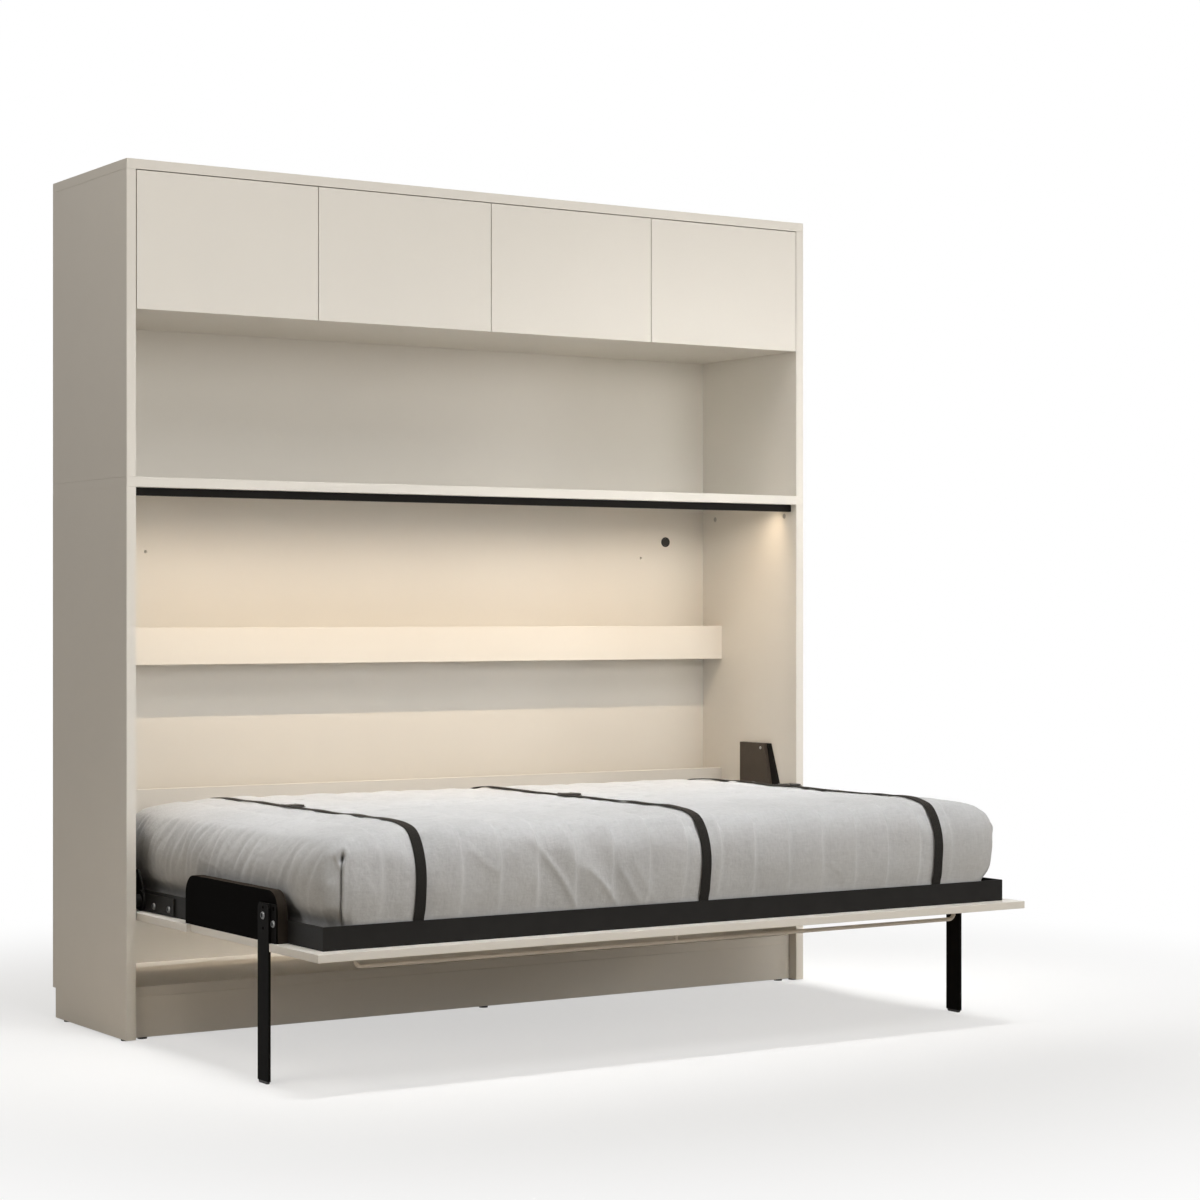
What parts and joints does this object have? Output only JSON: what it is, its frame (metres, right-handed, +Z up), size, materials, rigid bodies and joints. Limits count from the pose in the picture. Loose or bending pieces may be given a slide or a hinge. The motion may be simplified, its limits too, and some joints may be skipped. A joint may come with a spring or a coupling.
{
  "type": "wall bed",
  "caption": "Horizontal wall bed: an open cabinet with overhead cupboards and ledges, and a sprung bed that folds down sideways onto hinged legs.",
  "frame": {"origin": "on the floor, under the middle of the whole object's box with the bed let down", "axes": "+X right along the cabinet's front, +Y from the front towards the wall, +Z up"},
  "size_m": [2.108, 1.4816, 2.204],
  "materials": {
    "carcass_board": "matte",
    "door_board": "matte",
    "black_beam": "satin",
    "light_profile": "satin",
    "light_diffuser": "matte",
    "black_plastic": "matte",
    "cam_metal": "satin",
    "black_steel": "satin",
    "black_board": "satin",
    "hinge_steel": "satin",
    "latch_plastic": "matte",
    "bright_steel": "satin",
    "slat_wood": "satin",
    "mattress_sheet": "matte",
    "black_webbing": "matte",
    "pull_rail_paint": "satin"
  },
  "bodies": {
    "cabinet": {"left_lower_side": "carcass_board", "right_lower_side": "carcass_board", "left_upper_side": "carcass_board", "right_upper_side": "carcass_board", "middle_board": "carcass_board", "top_board": "carcass_board", "overhead_floor": "carcass_board", "overhead_partition": "carcass_board", "wall_rail": "carcass_board", "upper_back_panel": "carcass_board", "lower_back_panel": "carcass_board", "bottom_board": "carcass_board", "kick_board": "carcass_board", "ledge_shelves": "carcass_board", "ledge_lips": "carcass_board", "front_beam": "black_beam", "light_profile": "light_profile", "light_diffuser": "light_diffuser", "light_switch_bezel": "black_plastic", "cam_fasteners": "cam_metal", "glides": "black_plastic", "mechanism_plates": "black_steel", "mechanism_covers": "black_steel", "door_hinge_arms": "hinge_steel", "push_latch_housings": "latch_plastic"},
    "bed": {"face_panel": "door_board", "frame_long_rails": "black_steel", "frame_end_rails": "black_steel", "frame_cross_bars": "black_steel", "slats": "slat_wood", "side_guards": "black_board", "leg_brackets": "black_steel", "hinge_arms": "black_steel", "bed_bolts": "bright_steel", "mattress": "mattress_sheet", "straps": "black_webbing", "strap_buckles": "black_plastic", "pull_rail": "pull_rail_paint"},
    "left_leg": {"left_leg": "black_steel", "left_foot": "black_plastic"},
    "right_leg": {"right_leg": "black_steel", "right_foot": "black_plastic"},
    "left_cylinder": {"left_strut_cylinder": "black_steel"},
    "right_cylinder": {"right_strut_cylinder": "black_steel"},
    "left_rod": {"left_strut_rod": "bright_steel"},
    "right_rod": {"right_strut_rod": "bright_steel"},
    "light_button": {"light_switch_button": "black_plastic"},
    "far_left_door": {"far_left_door": "door_board", "far_left_hinge_cups": "hinge_steel"},
    "mid_left_door": {"mid_left_door": "door_board", "mid_left_hinge_cups": "hinge_steel"},
    "mid_right_door": {"mid_right_door": "door_board", "mid_right_hinge_cups": "hinge_steel"},
    "far_right_door": {"far_right_door": "door_board", "far_right_hinge_cups": "hinge_steel"},
    "far_left_plunger": {"far_left_plunger": "latch_plastic"},
    "mid_left_plunger": {"mid_left_plunger": "latch_plastic"},
    "mid_right_plunger": {"mid_right_plunger": "latch_plastic"},
    "far_right_plunger": {"far_right_plunger": "latch_plastic"}
  },
  "joints": [
    {"name": "bed_fold", "type": "hinge", "parent": "cabinet", "child": "bed", "pos_m": [0, 0.29375, 0.3475], "axis": [-1, 0, 0], "range_deg": [0, 90]},
    {"name": "left_leg_fold", "type": "hinge", "parent": "bed", "child": "left_leg", "pos_m": [-1.021, -0.46325, 0.382], "axis": [-1, 0, 0], "range_deg": [-90, 0]},
    {"name": "right_leg_fold", "type": "hinge", "parent": "bed", "child": "right_leg", "pos_m": [1.021, -0.46325, 0.382], "axis": [-1, 0, 0], "range_deg": [-90, 0]},
    {"name": "left_strut_swing", "type": "hinge", "parent": "cabinet", "child": "left_cylinder", "pos_m": [-1.004, 0.38875, 0.5525], "axis": [-1, 0, 0], "range_deg": [-12.64, 0]},
    {"name": "left_strut_slide", "type": "slide", "parent": "left_cylinder", "child": "left_rod", "axis": [0, -0.3547, -0.935], "range_m": [0, 0.09242]},
    {"name": "right_strut_swing", "type": "hinge", "parent": "cabinet", "child": "right_cylinder", "pos_m": [1.004, 0.38875, 0.5525], "axis": [-1, 0, 0], "range_deg": [-12.64, 0]},
    {"name": "right_strut_slide", "type": "slide", "parent": "right_cylinder", "child": "right_rod", "axis": [0, -0.3547, -0.935], "range_m": [0, 0.09242]},
    {"name": "far_left_door_swing", "type": "hinge", "parent": "cabinet", "child": "far_left_door", "pos_m": [-1.0265, 0.24875, 2.003], "axis": [0, 0, -1], "range_deg": [0, 90]},
    {"name": "mid_left_door_swing", "type": "hinge", "parent": "cabinet", "child": "mid_left_door", "pos_m": [-0.00125, 0.24875, 2.003], "axis": [0, 0, 1], "range_deg": [0, 90]},
    {"name": "mid_right_door_swing", "type": "hinge", "parent": "cabinet", "child": "mid_right_door", "pos_m": [0.00125, 0.24875, 2.003], "axis": [0, 0, -1], "range_deg": [0, 90]},
    {"name": "far_right_door_swing", "type": "hinge", "parent": "cabinet", "child": "far_right_door", "pos_m": [1.0265, 0.24875, 2.003], "axis": [0, 0, 1], "range_deg": [0, 90]},
    {"name": "far_left_latch_press", "type": "slide", "parent": "cabinet", "child": "far_left_plunger", "axis": [0, 1, 0], "range_m": [0, 0.003], "stiffness_N_per_m": 150},
    {"name": "mid_left_latch_press", "type": "slide", "parent": "cabinet", "child": "mid_left_plunger", "axis": [0, 1, 0], "range_m": [0, 0.003], "stiffness_N_per_m": 150},
    {"name": "mid_right_latch_press", "type": "slide", "parent": "cabinet", "child": "mid_right_plunger", "axis": [0, 1, 0], "range_m": [0, 0.003], "stiffness_N_per_m": 150},
    {"name": "far_right_latch_press", "type": "slide", "parent": "cabinet", "child": "far_right_plunger", "axis": [0, 1, 0], "range_m": [0, 0.003], "stiffness_N_per_m": 150},
    {"name": "light_switch_press", "type": "slide", "parent": "cabinet", "child": "light_button", "axis": [0, 1, 0], "range_m": [0, 0.002], "stiffness_N_per_m": 300}
  ],
  "couplings": [
    {"joint": "left_leg_fold", "follows": "bed_fold", "ratio": -1},
    {"joint": "left_strut_swing", "follows": "bed_fold", "ratio": -0.14047},
    {"joint": "left_strut_slide", "follows": "bed_fold", "m_per_rad": 0.058828},
    {"joint": "right_leg_fold", "follows": "bed_fold", "ratio": -1},
    {"joint": "right_strut_swing", "follows": "bed_fold", "ratio": -0.14047},
    {"joint": "right_strut_slide", "follows": "bed_fold", "m_per_rad": 0.058828}
  ]
}
